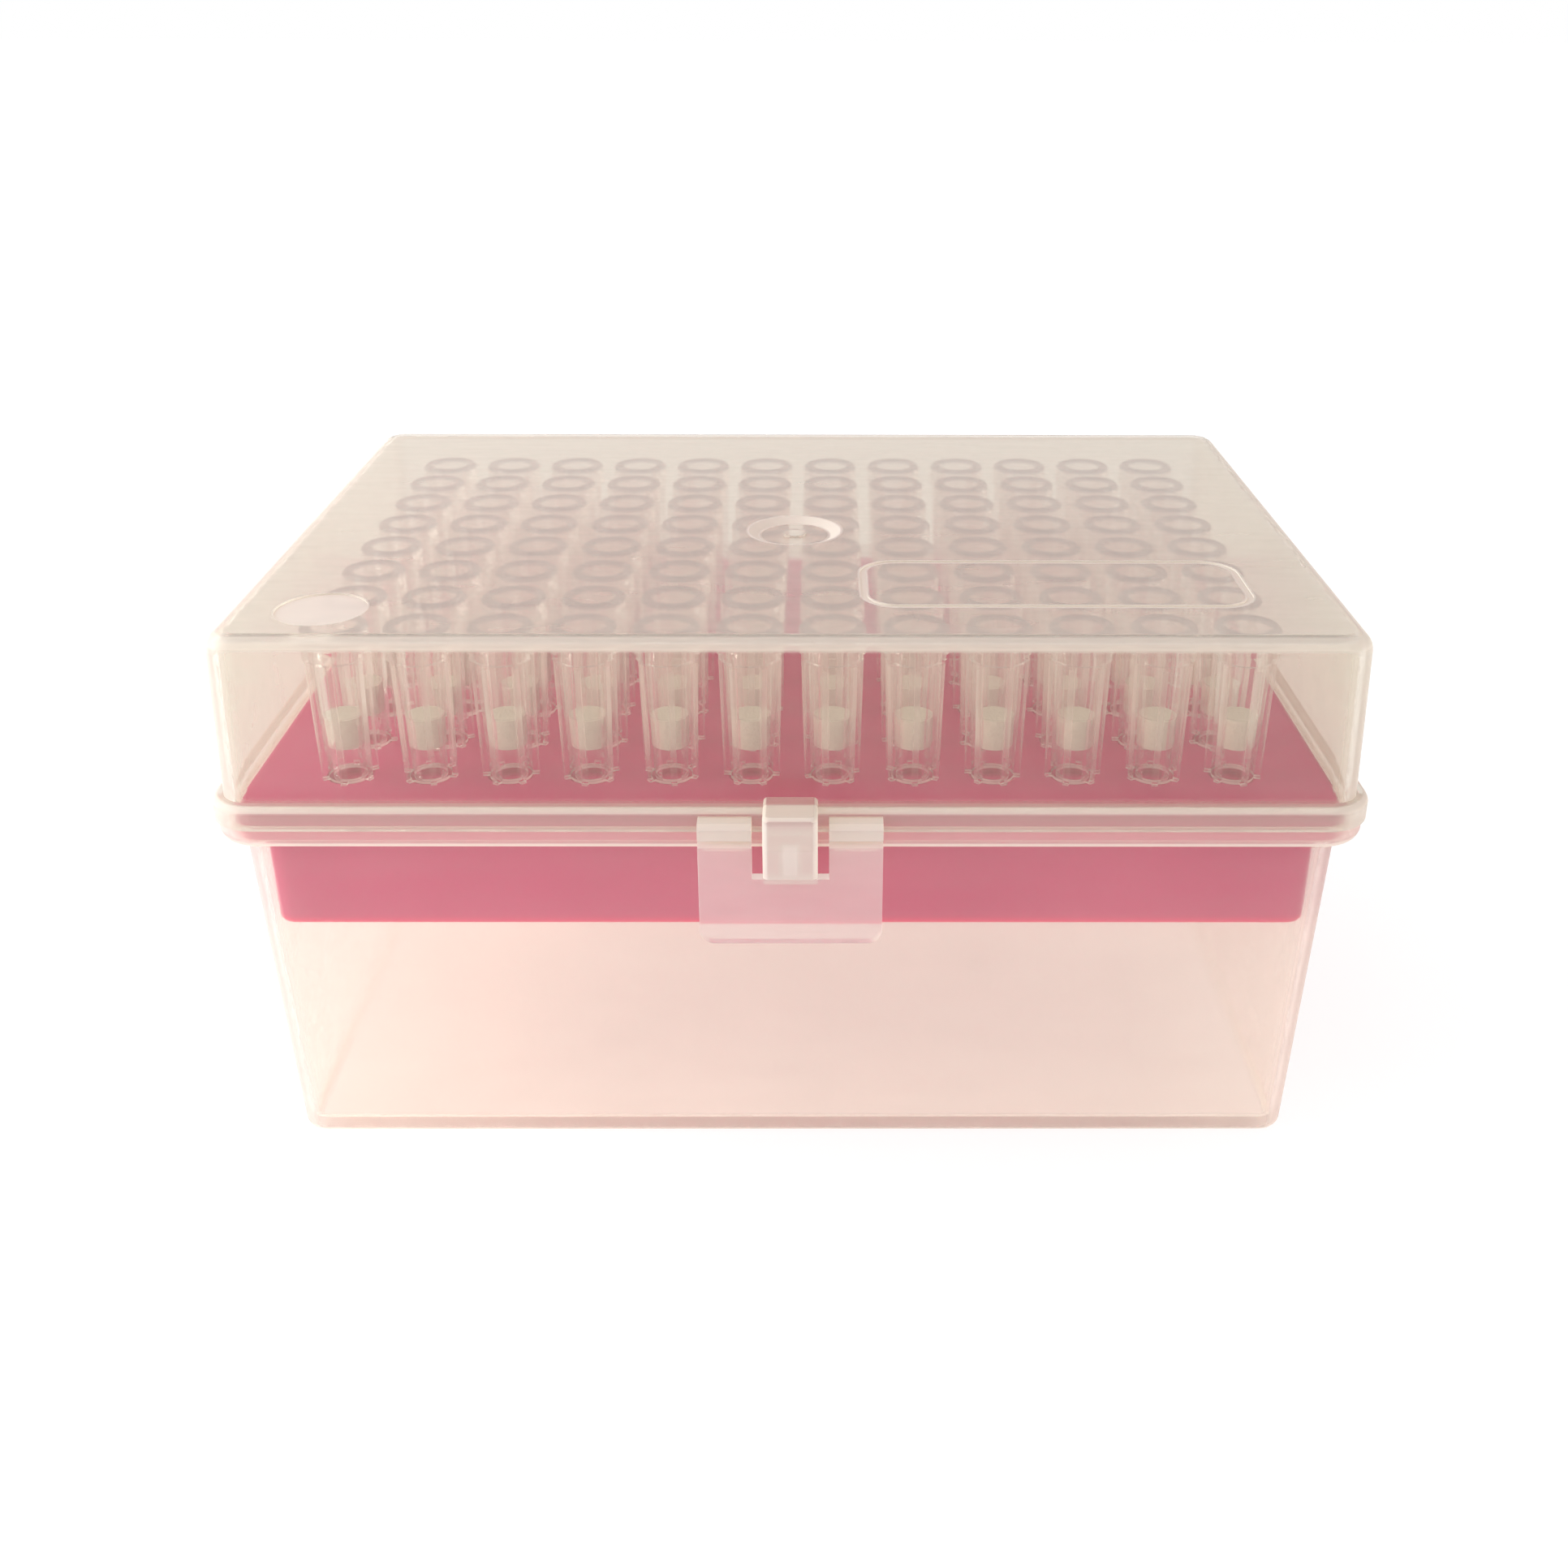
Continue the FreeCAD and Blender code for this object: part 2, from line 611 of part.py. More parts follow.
def add_knuckles(body):
    """Two C-shaped knuckles at the back that clip over the base's pins."""
    arm_low, arm_high = "pivot_z + clip_rise", "pivot_z + knuckle_radius"
    root = "lip_width / 2 - lid_wall / 2"
    arm = [(root, arm_low), ("pivot_y", arm_low), ("pivot_y", arm_high), (root, arm_high)]
    mouth_foot = "pivot_z - 2 * knuckle_radius"
    mouth = [("pivot_y - clip_mouth / 2", mouth_foot), ("pivot_y + clip_mouth / 2", mouth_foot),
             ("pivot_y + clip_mouth / 2", "pivot_z"), ("pivot_y - clip_mouth / 2", "pivot_z")]
    pivot = ("pivot_y", "pivot_z")
    for side, sign in sides():
        start = f"{sign} * hinge_along - knuckle_length / 2"
        flat = polygon(body, f"arm_{side}_outline", "YZ_Plane", arm, start)
        pad(body, f"arm_{side}", flat, "knuckle_length")
        ring = circle(body, f"knuckle_{side}_outline", "YZ_Plane", pivot, "knuckle_radius", start)
        pad(body, f"knuckle_{side}", ring, "knuckle_length")
        bore = circle(body, f"bore_{side}_outline", "YZ_Plane", pivot, "pin_radius + pin_play", start)
        pocket(body, f"bore_{side}", bore, "knuckle_length", along_normal=True)
        gap = polygon(body, f"mouth_{side}_outline", "YZ_Plane", mouth, start)
        pocket(body, f"mouth_{side}", gap, "knuckle_length", along_normal=True)


def mark_top(body):
    """The gate dish, a plain disc and a frame round a label's place, all let into the top."""
    gate = ("0", "-gate_across")
    dish = body.newObject("PartDesign::SubtractiveCone", "gate_dish")
    attach(dish, body, "XY_Plane", "lid_top_z - gate_depth")
    dish.setExpression("AttachmentOffset.Base.y", cells(gate[1]))
    dish.setExpression("Radius1", cells("gate_radius - gate_slant"))
    dish.setExpression("Radius2", cells("gate_radius"))
    dish.setExpression("Height", cells("gate_depth"))
    finish(body, dish, removes=True)
    stub = circle(body, "gate_stub_outline", "XY_Plane", gate, "gate_stub", "lid_top_z - gate_depth")
    pad(body, "gate_stub", stub, "gate_depth / 2")
    disc = circle(body, "disc_outline", "XY_Plane", ("-disc_along", "-disc_across"), "disc_radius",
                  "lid_top_z")
    pocket(body, "disc", disc, "mark_depth")
    label = ("label_along", "-label_across")
    floor = "lid_top_z - mark_depth"
    outer = rounded_rectangle(body, "label_outline", "lid_top_z", "label_length", "label_width",
                              "label_corner", label)
    pocket(body, "label_frame", outer, "mark_depth")
    inner = rounded_rectangle(body, "label_inner_outline", floor, "label_length - 2 * label_line",
                              "label_width - 2 * label_line", "label_corner - label_line", label)
    pad(body, "label_panel", inner, "mark_depth")


def build_release_plate():
    """The U-shaped plate in front of the rim, with a hinge rod behind each arm."""
    body = new_body("release_plate")
    top, slot, foot = "cap_low_z - release_top", "part_z - slot_drop", "part_z - release_drop"
    outline = [("-latch_half", top), ("-slot_half", top), ("-slot_half", slot), ("slot_half", slot),
               ("slot_half", top), ("latch_half", top), ("latch_half", foot), ("-latch_half", foot)]
    face = polygon(body, "plate_outline", "XZ_Plane", outline, "release_back")
    plate = pad(body, "plate", face, "release_thickness")
    plate = fillet(body, "foot_corners", plate, foot_corner_edge(foot), "release_corner")
    for side, sign in sides():
        arm_edge = front_top_edge(top, "release_front", sign)
        plate = fillet(body, f"arm_{side}_edge", plate, arm_edge, "release_edge")
    web = [("-(release_back + release_thickness / 2)", "rod_z - web_height / 2"),
           ("-(release_back + release_thickness / 2)", "rod_z + web_height / 2"),
           ("-rod_y", "rod_z + web_height / 2"), ("-rod_y", "rod_z - web_height / 2")]
    for side, sign in sides():
        block, length = block_start(sign)
        start = f"{block} + side_play" if sign > 0 else f"{block} + rod_stop + side_play"
        reach = f"{length} - rod_stop - 2 * side_play"
        flat = polygon(body, f"web_{side}_outline", "YZ_Plane", web, start)
        pad(body, f"web_{side}", flat, reach)
        rod = circle(body, f"rod_{side}_outline", "YZ_Plane", ("-rod_y", "rod_z"), "rod_radius", start)
        pad(body, f"rod_{side}", rod, reach)
    return body


def foot_corner_edge(foot):
    """Test for the two short edges through the plate at its lower corners."""
    def test(edge):
        centre = edge.CenterOfMass
        across = edge.BoundBox.YLength > MOSTLY * edge.Length
        return across and abs(centre.z - value(foot)) < NEAR
    return test


def build_tip():
    """One tip on the Z axis, with the rack plate's top at height 0."""
    body = new_body("tip")
    edge = "collar_edge"
    profile = [("point_radius", "-tip_reach"), ("waist_radius", "-waist_depth"), ("tube_low", "0"),
               ("tube_high", "collar_low"), (f"collar_radius - {edge}", "collar_low"),
               ("collar_radius", f"collar_low + {edge}"), ("collar_radius", f"tip_rise - {edge}"),
               (f"collar_radius - {edge}", "tip_rise"), ("mouth_radius", "tip_rise"),
               ("bore_step", "step_height"), ("bore_filter", "step_height"), ("bore_seat", "filter_low"),
               ("bore_seat - filter_seat", "filter_low"), ("bore_plate", "0"),
               ("waist_radius - cone_wall", "-waist_depth"), ("point_bore", "-tip_reach")]
    outline = polygon(body, "tip_profile", "XZ_Plane", profile)
    turned = body.newObject("PartDesign::Revolution", "turned")
    turned.Profile = outline
    turned.ReferenceAxis = (outline, ["V_Axis"])
    turned.Angle = 360
    finish(body, turned)
    blade = [("tube_low - tube_wall / 2", "0"), ("hole_radius + rib_rest", "0"),
             ("collar_radius - rib_inset", "collar_low"), ("tube_high - tube_wall / 2", "collar_low")]
    rib = pad(body, "rib", polygon(body, "rib_outline", "XZ_Plane", blade), "rib_width", symmetric=True)
    ribs = body.newObject("PartDesign::PolarPattern", "ribs")
    ribs.Originals = [rib]
    ribs.Axis = (outline, ["V_Axis"])
    ribs.Angle = 360
    ribs.Occurrences = RIBS
    finish(body, ribs)
    return body


def build_filter():
    """One filter plug, a little tapered like the bore that it fills."""
    plug = doc.addObject("Part::Cone", "filter_plug")
    plug.Label = "filter_plug"
    plug.setExpression("Radius1", cells("bore_seat - filter_gap"))
    plug.setExpression("Radius2", cells("bore_seat + bore_slope * filter_height - filter_gap"))
    plug.setExpression("Height", cells("filter_height"))
    plug.setExpression("Placement.Base.z", cells("filter_low"))
    doc.recompute()
    return plug


def build_row(kind, letter, pattern):
    """A row of separate copies along X. Each copy is turned by its own angle, as dropped in."""
    row = ROWS.index(letter)
    across = value("pitch") * ((len(ROWS) - 1) / 2 - row)
    copies = []
    for column in range(COLUMNS):
        copy = pattern.Shape.copy()
        turn = (row * COLUMNS + column) * GOLDEN_ANGLE
        copy.rotate(FreeCAD.Vector(0, 0, 0), FreeCAD.Vector(0, 0, 1), turn)
        along = value("pitch") * (column - (COLUMNS - 1) / 2)
        copy.translate(FreeCAD.Vector(along, across, value("plate_z")))
        copies.append(copy)
    name = f"{kind}_row_{letter}"
    feature = doc.addObject("Part::Feature", name)
    feature.Label = name
    feature.Shape = Part.makeCompound(copies)
    feature.Placement = FreeCAD.Placement()
    return feature


def check_and_write(parts):
    doc.recompute()
    for item in doc.Objects:
        if {"Invalid", "Error"} & set(item.State):
            raise RuntimeError(f"{item.Label} failed: {item.State}")
    for part in parts:
        if part.Shape.isNull() or not part.Shape.isValid():
            raise RuntimeError(f"{part.Label} has no valid shape")
    os.makedirs("parts", exist_ok=True)
    for part in parts:
        part.Shape.exportStep(f"parts/{part.Label}.step")
        print(part.Label, len(part.Shape.Solids), "solids", round(part.Shape.Volume, 1), "mm3")


fill_sheet()
parts = [build_base(), build_rack(), build_lid(), build_release_plate()]
tip = build_tip()
plug = build_filter()
for letter in ROWS:
    parts.append(build_row("tips", letter, tip))
    parts.append(build_row("filters", letter, plug))
check_and_write(parts)
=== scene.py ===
import math

import bpy
from mathutils import Matrix, Vector

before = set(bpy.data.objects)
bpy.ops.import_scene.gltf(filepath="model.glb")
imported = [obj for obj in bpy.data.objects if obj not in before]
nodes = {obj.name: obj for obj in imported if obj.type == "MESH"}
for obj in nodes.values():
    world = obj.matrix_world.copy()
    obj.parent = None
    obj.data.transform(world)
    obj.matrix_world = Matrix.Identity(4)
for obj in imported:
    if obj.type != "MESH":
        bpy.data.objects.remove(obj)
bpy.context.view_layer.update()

# Box of pipette tips. Metres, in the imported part's frame: +Z up, latch towards -Y.


def heights(name):
    """Lowest and highest point of a node, in the coordinates its material reads."""
    levels = [vertex.co.z for vertex in nodes[name].data.vertices]
    return min(levels), max(levels)


SKIRT_FOOT, PLATE_TOP = heights("tip_rack")
MOUTH = heights("tips_row_a")[1]
LID_TOP = heights("lid")[1]
COLLAR_LOW = MOUTH - 0.0028
RIM_LOW = 0.0402
LIP_TOP = 0.0454
LIP_FRONT = -0.0436
LATCH_HALF = 0.0101
PITCH = 0.009
SEAT_HEIGHT = 0.0412  # of the lighter patch in the tongue's front
DISC_CENTRE, DISC_RADIUS = (-0.0502, -0.0328), 0.0050
GATE_CENTRE, GATE_RADIUS, GATE_REACH = (0.0, -0.0053), 0.0042, 0.0058
LABEL_CENTRE, LABEL_HALF = (0.0291, -0.0244), (0.0215, 0.00765)
LABEL_CORNER, LABEL_LINE = 0.004, 0.0007
BLUR = 0.0002  # half the width over which one finish passes into the next

WHITE = (1, 1, 1, 1)
# Painted highlight: the cream milk on the tilted fillets of the top edges stands in for the highlight along
# them.
EDGE_HIGHLIGHT_MILK = (0.98, 0.95, 0.86, 1)
EDGE_HIGHLIGHT_HAZE = 0.24  # painted highlight: haze added on fillets, for the pale lines that light draws along rounded edges


# ---------------------------------------------------------------- materials

class Tree:
    """A material or world whose nodes are added one call at a time."""

    def __init__(self, owner):
        owner.use_nodes = True
        self.owner = owner
        self.tree = owner.node_tree
        self.tree.nodes.clear()

    def add(self, kind, inputs=None, **settings):
        node = self.tree.nodes.new("ShaderNode" + kind)
        for key, value in settings.items():
            setattr(node, key, value)
        for key, value in (inputs or {}).items():
            if isinstance(value, bpy.types.NodeSocket):
                self.tree.links.new(value, node.inputs[key])
            else:
                node.inputs[key].default_value = value
        return node

    def math(self, operation, first, second=0.0, clamp=False):
        return self.add("Math", {0: first, 1: second}, operation=operation, use_clamp=clamp).outputs[0]

    def scale(self, value, from_low, from_high, to_low, to_high, smooth=False):
        mapped = self.add("MapRange", {"Value": value, "From Min": from_low, "From Max": from_high,
                                       "To Min": to_low, "To Max": to_high},
                          interpolation_type="SMOOTHSTEP" if smooth else "LINEAR")
        return mapped.outputs["Result"]

    def blend(self, factor, first, second):
        node = self.add("Mix", data_type="RGBA")
        sockets = (node.inputs["Factor"], node.inputs[6], node.inputs[7])
        for socket, value in zip(sockets, (factor, first, second)):
            if isinstance(value, bpy.types.NodeSocket):
                self.tree.links.new(value, socket)
            else:
                socket.default_value = value
        return node.outputs[2]

    def mix(self, factor, first, second):
        node = self.add("MixShader", {0: factor})
        self.tree.links.new(first.outputs[0], node.inputs[1])
        self.tree.links.new(second.outputs[0], node.inputs[2])
        return node

    def join(self, first, second):
        node = self.add("AddShader")
        self.tree.links.new(first.outputs[0], node.inputs[0])
        self.tree.links.new(second.outputs[0], node.inputs[1])
        return node

    def output(self, shader, kind="OutputMaterial"):
        out = self.add(kind)
        self.tree.links.new(shader.outputs[0], out.inputs["Surface"])
        return self.owner

    def place(self):
        return self.add("TexCoord").outputs["Object"]

    def split(self, vector):
        parts = self.add("SeparateXYZ", {0: vector})
        return parts.outputs["X"], parts.outputs["Y"], parts.outputs["Z"]

    def noise(self, scale, detail=3.0, stretch=(1, 1, 1)):
        where = self.add("Mapping", {"Vector": self.place(), "Scale": stretch}).outputs[0]
        return self.add("TexNoise", {"Vector": where, "Scale": scale, "Detail": detail}).outputs["Fac"]

    def through(self, deepest):
        """1 for the rays that carry diffuse light and shadows, which pass straight through a clear wall,
        and for a ray that has turned too often inside the walls."""
        path = self.add("LightPath")
        carried = self.math("MAXIMUM", path.outputs["Is Shadow Ray"], path.outputs["Is Diffuse Ray"])
        return self.math("MAXIMUM", carried, self.math("GREATER_THAN", path.outputs["Ray Depth"], deepest))

    def seen(self):
        """1 for the rays by which something is seen, straight, mirrored or through a clear wall."""
        path = self.add("LightPath")
        mirrored = self.math("MAXIMUM", path.outputs["Is Glossy Ray"], path.outputs["Is Transmission Ray"])
        return self.math("MAXIMUM", path.outputs["Is Camera Ray"], mirrored)

    def bump(self, height, distance):
        return self.add("Bump", {"Height": height, "Distance": distance, "Strength": 1.0}).outputs[0]


def darker(colour, shares):
    return tuple(part * share for part, share in zip(colour, shares)) + (1.0,)


def clear_plastic(name, veils, tint, milk, haze, edge_haze, rough, top_rough, top_shade=None):
    """Moulded natural polypropylene: it refracts, and its surfaces scatter a little milky light.

    veils gives the milkier places; the last argument darkens the tint of the level faces, a painted shade
    for a top that gets less light.
    """
    t = Tree(bpy.data.materials.new(name))
    across, back, up = t.split(t.place())
    turns = [t.math("ABSOLUTE", part) for part in t.split(t.add("TexCoord").outputs["Normal"])]
    level = turns[2]
    squareness = t.math("MAXIMUM", t.math("MAXIMUM", turns[0], turns[1]), level)
    # Painted highlight: the rounded edges (fillets) get extra white haze, for the pale lines along them.
    fillet_highlight = t.scale(squareness, 0.90, 0.985, 1.0, 0.0)
    flow = t.noise(60.0, 2.0)
    streaks = t.noise(240.0, 2.0, stretch=(0.25, 1.0, 1.0))
    roughness = t.math("ADD", t.scale(level, 0.75, 0.98, rough, top_rough, smooth=True),
                       t.scale(flow, 0.3, 0.7, -0.01, 0.02))
    normal = t.bump(flow, 0.00004)
    colour = t.blend(t.scale(flow, 0.3, 0.7, 0.0, 1.0), tint, darker(tint, (0.985, 0.985, 0.985)))
    # Painted shade: the level faces take a darker tint, for a top that is less lit.
    if top_shade:
        colour = t.blend(t.scale(level, 0.8, 0.98, 0.0, 1.0), colour, darker(tint, top_shade))
    glass = t.add("BsdfPrincipled", {"Base Color": colour, "Roughness": roughness, "IOR": 1.3,
                                     "Transmission Weight": 1.0, "Normal": normal}, distribution="GGX")
    # Painted highlight: the tilted fillets of the top edges take a cream milk and a second share of edge
    # haze.
    top_edge_highlight = t.math("MULTIPLY", fillet_highlight, t.scale(level, 0.1, 0.4, 0.0, 1.0))
    white = t.blend(top_edge_highlight, milk, EDGE_HIGHLIGHT_MILK)
    cloudy = t.mix(0.5, t.add("BsdfDiffuse", {"Color": white, "Normal": normal}),
                   t.add("BsdfTranslucent", {"Color": white, "Normal": normal}))
    facing = t.add("LayerWeight", {"Blend": 0.5}).outputs["Facing"]
    amount = t.math("MULTIPLY", t.scale(facing, 0.0, 1.0, haze, edge_haze),
                    t.scale(streaks, 0.2, 0.8, 0.85, 1.15))
    amount = t.math("ADD", amount, t.math("MULTIPLY", t.math("ADD", fillet_highlight, top_edge_highlight), EDGE_HIGHLIGHT_HAZE))
    amount = t.math("ADD", amount, veils(t, across, back, up), clamp=True)
    body = t.mix(amount, glass, cloudy)
    lit = t.mix(t.through(deepest=5), body, t.add("BsdfTransparent", {"Color": colour}))
    return t.output(lit)


def frame_line(t, across, back, centre, half, corner, line):
    """1 on a line just inside a rounded rectangle's outline."""
    outside = []
    for place, middle, reach in ((across, centre[0], half[0]), (back, centre[1], half[1])):
        off = t.math("ABSOLUTE", t.math("SUBTRACT", place, middle))
        outside.append(t.math("MAXIMUM", t.math("SUBTRACT", off, reach - corner), 0.0))
    squares = [t.math("MULTIPLY", side, side) for side in outside]
    away = t.math("SUBTRACT", t.math("SQRT", t.math("ADD", *squares)), corner - line / 2)
    return t.scale(t.math("ABSOLUTE", away), line * 0.5, line * 0.9, 1.0, 0.0)


def from_axis(t, across, back, centre):
    aside, behind = t.math("SUBTRACT", across, centre[0]), t.math("SUBTRACT", back, centre[1])
    squares = [t.math("MULTIPLY", side, side) for side in (aside, behind)]
    return t.math("SQRT", t.math("ADD", *squares))


def lid_veils(t, across, back, up):
    """The milkier places: lip, tongue and caps, and the marks let into the top."""
    lip = t.scale(up, LIP_TOP - BLUR, LIP_TOP + BLUR, 0.17, 0.0)
    aside = t.math("ABSOLUTE", across)
    from_seat = t.math("ABSOLUTE", t.math("SUBTRACT", up, SEAT_HEIGHT))
    seat = t.math("MULTIPLY", t.scale(aside, 0.0005, 0.0010, 0.25, 0.0, smooth=True),
                  t.scale(from_seat, 0.0014, 0.0022, 1.0, 0.0, smooth=True))
    tongue_and_caps = t.scale(aside, LATCH_HALF - BLUR / 2, LATCH_HALF + BLUR / 2, 0.5, 0.0)
    in_front = t.scale(back, LIP_FRONT - 0.0005, LIP_FRONT - 0.0001, 1.0, 0.0)
    latch = t.math("MULTIPLY", in_front, t.math("ADD", seat, tongue_and_caps))
    on_top = t.scale(up, LID_TOP - 0.0008, LID_TOP - 0.0006, 0.0, 1.0)
    disc = from_axis(t, across, back, DISC_CENTRE)
    disc = t.scale(disc, DISC_RADIUS - BLUR / 2, DISC_RADIUS + BLUR / 2, 0.6, 0.0)
    gate = from_axis(t, across, back, GATE_CENTRE)
    ring = t.math("MULTIPLY", t.scale(gate, GATE_RADIUS - BLUR, GATE_RADIUS + BLUR, 0.0, 1.0),
                  t.scale(gate, GATE_REACH - BLUR, GATE_REACH + BLUR, 0.8, 0.0))
    line = frame_line(t, across, back, LABEL_CENTRE, LABEL_HALF, LABEL_CORNER, LABEL_LINE)
    line = t.math("MULTIPLY", line, 0.85)
    marks = t.math("MULTIPLY", t.math("MAXIMUM", t.math("MAXIMUM", disc, ring), line), on_top)
    return t.math("ADD", t.math("ADD", lip, latch), marks)


def base_veils(t, across, back, up):
    """The rim is milkier than the walls."""
    return t.scale(up, RIM_LOW - 0.0001, RIM_LOW + BLUR, 0.0, 0.22)


def plate_veils(t, across, back, up):
    """The release plate clears towards its foot."""
    return t.scale(up, 0.0300, 0.0420, 0.05, 0.16)


def thin_plastic(name, tint, milk, haze, edge_haze):
    """Thin clear wall of a tip: straight through in the middle, with painted highlights where it turns
    away, on its ribs and at their feet.
    Painted shade rings its mouth, and in and under its hole it takes a painted reflection of the rack's
    red."""
    t = Tree(bpy.data.materials.new(name))
    across, back, up = t.split(t.place())
    cell = [t.math("FLOORED_MODULO", place, PITCH) for place in (across, back)]
    away = from_axis(t, *cell, (PITCH / 2, PITCH / 2))
    above = t.scale(up, PLATE_TOP - 0.0013, PLATE_TOP - 0.0001, 0.0, 1.0)
    # Painted highlight: the ribs are whitened, and the wall whiter at grazing angles, for the white
    # outlines they show.
    ribs = t.math("MULTIPLY", t.scale(away, 0.00285, 0.0031, 0.0, 1.0),
                  t.scale(up, COLLAR_LOW - 0.0004, COLLAR_LOW, 1.0, 0.0))
    facing = t.add("LayerWeight", {"Blend": 0.5}).outputs["Facing"]
    edge = t.math("POWER", facing, 2.5)
    veil = t.math("ADD", t.scale(edge, 0.0, 1.0, haze, edge_haze), t.math("MULTIPLY", ribs, 0.22))
    amount = t.math("MULTIPLY", veil, t.scale(up, PLATE_TOP - 0.0001, PLATE_TOP + 0.0037, 0.06, 1.0))
    # Painted highlight: a white band at each tip's foot, just above the plate.
    feet = t.math("MULTIPLY", t.scale(up, PLATE_TOP + 0.00015, PLATE_TOP + 0.0003, 0.7, 0.0),
                  t.scale(up, PLATE_TOP - 0.00015, PLATE_TOP - 0.0001, 0.0, 1.0))
    amount = t.math("MAXIMUM", amount, feet)
    layers = t.add("LightPath").outputs["Transparent Depth"]
    amount = t.math("MAXIMUM", amount, t.scale(layers, 12.0, 26.0, 0.0, 0.6))
    cloudy = t.mix(0.6, t.add("BsdfDiffuse", {"Color": milk}), t.add("BsdfTranslucent", {"Color": milk}))
    # Painted shade: a grey ring on the tip's mouth rim, for the dark outline there.
    mouth = t.scale(up, MOUTH - 0.0005, MOUTH - 0.0002, 0.0, 1.0)
    clear = t.blend(above, WHITE, tint)
    turned = t.blend(t.math("MULTIPLY", edge, above), clear, darker(tint, (0.93, 0.93, 0.93)))
    turned = t.blend(mouth, turned, (0.55, 0.53, 0.57, 1))
    wall = t.mix(amount, t.add("BsdfTransparent", {"Color": turned}), cloudy)
    # Painted reflection: in and under the plate's hole the tip turns translucent red, the rack's red
    # reflected in it.
    painted_red_reflection = t.math("MULTIPLY", t.scale(up, PLATE_TOP - 0.0053, PLATE_TOP - 0.0043, 0.0, 0.9),
                     t.math("SUBTRACT", 1.0, above))
    wall = t.mix(painted_red_reflection, wall, t.add("BsdfTranslucent", {"Color": (0.80, 0.06, 0.26, 1)}))
    gloss = t.add("BsdfGlossy", {"Color": WHITE, "Roughness": 0.08})
    fresnel = t.add("Fresnel", {"IOR": 1.45}).outputs[0]
    shine = t.math("MULTIPLY", fresnel, t.scale(above, 0.0, 1.0, 0.03, 0.5))
    lit = t.mix(t.through(deepest=4), t.mix(shine, wall, gloss), t.add("BsdfTransparent", {"Color": clear}))
    return t.output(lit)


def red_plastic(name):
    """Moulded red polypropylene: satin, and it lets some light through. Painted light: its level faces and
    the foot of its skirt are lighter.
    """
    t = Tree(bpy.data.materials.new(name))
    flow = t.noise(45.0, 3.0)
    grain = t.noise(1400.0, 2.0)
    height = t.split(t.place())[2]
    level = t.scale(t.split(t.add("TexCoord").outputs["Normal"])[2], 0.6, 0.95, 0.0, 1.0)
    # Painted light: the bottom 1.3 mm of the skirt is a brighter red, and the level faces a lighter, bluer
    # red, a painted sheen of light from above.
    foot = t.scale(height, SKIRT_FOOT + 0.0001, SKIRT_FOOT + 0.0013, 1.0, 0.0, smooth=True)
    red_with_painted_light = t.blend(foot, (0.52, 0.016, 0.155, 1), (0.97, 0.024, 0.165, 1))
    red_with_painted_light = t.blend(level, red_with_painted_light, (0.80, 0.034, 0.27, 1))
    colour = t.blend(t.scale(flow, 0.3, 0.7, 0.0, 0.3), red_with_painted_light, (0.68, 0.036, 0.22, 1))
    normal = t.bump(grain, 0.00002)
    solid = t.add("BsdfPrincipled", {"Base Color": colour, "Roughness": t.scale(flow, 0.2, 0.8, 0.28, 0.42),
                                     "IOR": 1.49, "Normal": normal})
    glow = t.add("BsdfTranslucent", {"Color": (0.90, 0.08, 0.25, 1), "Normal": normal})
    return t.output(t.mix(0.3, solid, glow))


def porous_plug(name):
    """Sintered polyethylene: matt cream with a fine open grain."""
    t = Tree(bpy.data.materials.new(name))
    pores = t.add("TexVoronoi", {"Vector": t.place(), "Scale": 3200.0}).outputs["Distance"]
    colour = t.blend(t.scale(pores, 0.0, 0.6, 0.0, 1.0), (0.70, 0.67, 0.64, 1), (0.86, 0.83, 0.80, 1))
    solid = t.add("BsdfPrincipled", {"Base Color": colour, "Roughness": 0.9,
                                     "Normal": t.bump(pores, 0.00008)})
    glow = t.add("BsdfTranslucent", {"Color": (0.90, 0.88, 0.84, 1)})
    return t.output(t.mix(0.3, solid, glow))


# The lid's last argument is painted shade on its level faces.
LID = clear_plastic(
    "lid_polypropylene", lid_veils, tint=(0.857, 0.822, 0.757, 1), milk=(0.95, 0.915, 0.85, 1),
    haze=0.07, edge_haze=0.36, rough=0.03, top_rough=0.04, top_shade=(0.92, 0.91, 0.88))
# The base's milk and tint lean pinker than the lid's: partly the plastic's warm tone, partly painted red
# light thrown onto it by the rack.
BASE = clear_plastic(
    "base_polypropylene", base_veils, tint=(1.0, 0.952, 0.91, 1), milk=(1.0, 0.87, 0.81, 1),
    haze=0.11, edge_haze=0.34, rough=0.20, top_rough=0.20)
PLATE = clear_plastic(
    "latch_polypropylene", plate_veils, tint=(1.0, 0.97, 0.955, 1), milk=(1.0, 0.95, 0.92, 1),
    haze=0.20, edge_haze=0.35, rough=0.06, top_rough=0.06)
TIP = thin_plastic(
    "tip_polypropylene_thin", tint=(0.998, 0.99, 0.99, 1), milk=(1.0, 0.93, 0.96, 1),
    haze=0.05, edge_haze=0.42)
RED = red_plastic("red_polypropylene_satin")
PLUG = porous_plug("filter_polyethylene_porous")

LOOKS = {"base_box": BASE, "lid": LID, "release_plate": PLATE, "tip_rack": RED}
for name, node in nodes.items():
    look = LOOKS.get(name) or (TIP if name.startswith("tips_row") else PLUG)
    node.data.materials.clear()
    node.data.materials.append(look)


# ---------------------------------------------------------------- stage

